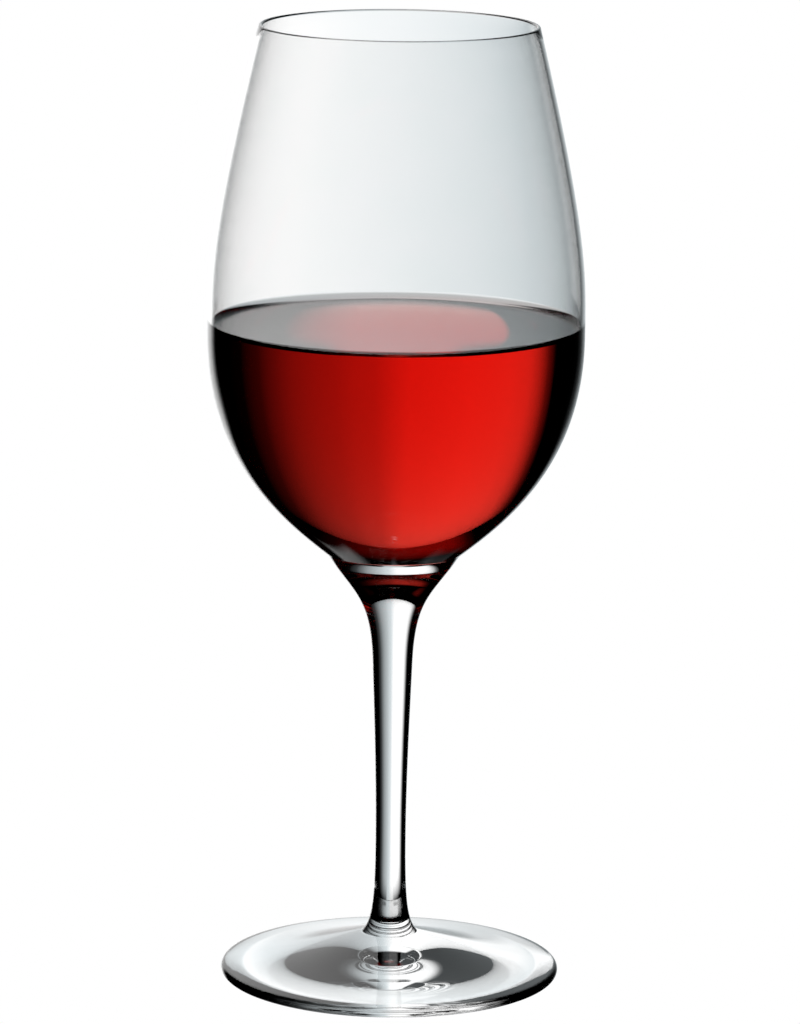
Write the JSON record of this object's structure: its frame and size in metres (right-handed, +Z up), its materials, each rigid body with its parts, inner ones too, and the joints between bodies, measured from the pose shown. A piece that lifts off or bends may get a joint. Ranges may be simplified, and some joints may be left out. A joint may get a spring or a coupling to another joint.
{
  "type": "wine glass",
  "caption": "Stemmed wine glass with a wide rounded bowl that narrows to the mouth, a slim stem and a thin round foot, part filled with red wine.",
  "frame": {"origin": "centre of the ring that the foot rests on, level with the table", "axes": "+Z up along the glass's axis of revolution, from the foot to the mouth; X and Y are any two directions across it"},
  "size_m": [0.0864, 0.0864, 0.222],
  "materials": {
    "bowl_glass": "clear, fire-polished",
    "stem_glass": "clear, fire-polished",
    "foot_glass": "clear, fire-polished",
    "red_wine": "clear dark red liquid"
  },
  "bodies": {
    "root": {"bowl": "bowl_glass", "stem": "stem_glass", "foot": "foot_glass", "wine": "red_wine"}
  },
  "joints": []
}
